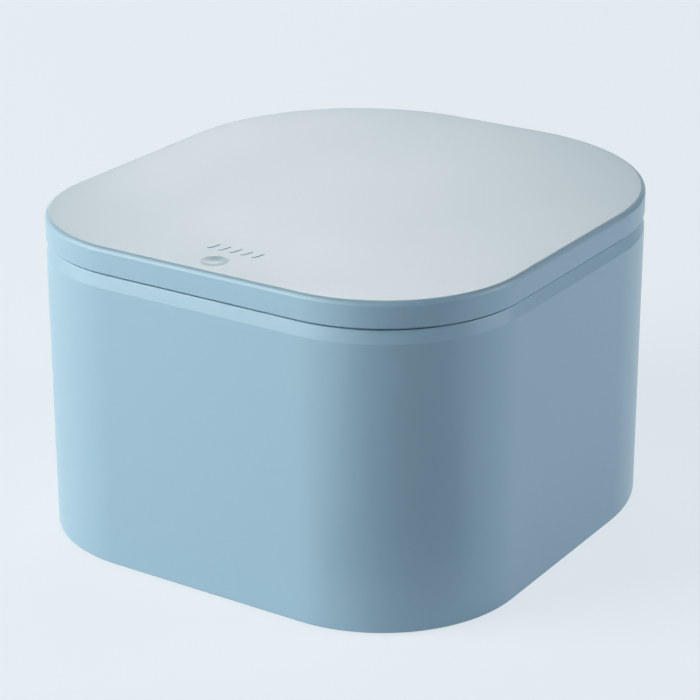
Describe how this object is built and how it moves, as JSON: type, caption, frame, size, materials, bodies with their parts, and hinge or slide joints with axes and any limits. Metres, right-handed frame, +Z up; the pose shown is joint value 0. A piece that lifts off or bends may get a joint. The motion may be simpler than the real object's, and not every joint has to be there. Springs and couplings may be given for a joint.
{
  "type": "push top countertop bin",
  "caption": "Small rounded-square countertop bin with a hinged push-to-open lid, a lift-out rim frame, torsion springs and a push-push latch.",
  "frame": {"origin": "centre of the footprint, on the surface that the bin stands on", "axes": "+Z up, -Y out of the front face where the lid is pressed, +X to the right seen from the front, hinge at the +Y side"},
  "size_m": [0.15, 0.163, 0.0975],
  "materials": {
    "shell_plastic": "satin moulded polypropylene",
    "frame_plastic": "fine matt texture",
    "latch_acetal": "smooth acetal",
    "spring_steel": "bright drawn wire and strip",
    "screw_steel": "zinc plated",
    "soft_rubber": "soft matt"
  },
  "bodies": {
    "bin": {"bin_body": "shell_plastic", "base_pads": "soft_rubber"},
    "collar": {"rim_frame": "frame_plastic", "lid_stops": "soft_rubber", "hinge_pin": "spring_steel", "hinge_spring_left": "spring_steel", "hinge_spring_right": "spring_steel", "latch_housing": "latch_acetal", "latch_cover": "latch_acetal", "latch_follower": "spring_steel", "latch_screws": "screw_steel", "latch_spring": "spring_steel"},
    "lid": {"lid_shell": "shell_plastic", "lid_liner": "frame_plastic", "liner_screws": "screw_steel", "striker": "latch_acetal", "striker_screws": "screw_steel"},
    "latch": {"latch_slider": "latch_acetal", "latch_clip": "spring_steel"}
  },
  "joints": [
    {"name": "frame_lift", "type": "slide", "parent": "bin", "child": "collar", "axis": [0, 0, 1], "range_m": [0, 0.03]},
    {"name": "lid_hinge", "type": "hinge", "parent": "collar", "child": "lid", "pos_m": [0, 0.0765, 0.09145], "axis": [-1, 0, 0], "range_deg": [-0.15, 75], "stiffness_Nm_per_rad": 0.018, "springref_deg": 180, "deforming": ["hinge_spring_left", "hinge_spring_right", "latch_clip"]},
    {"name": "latch_slide", "type": "slide", "parent": "collar", "child": "latch", "axis": [0, 0, 1], "range_m": [-0.0005, 0.0025], "stiffness_N_per_m": 300, "deforming": ["latch_spring", "latch_clip", "latch_follower"]}
  ]
}
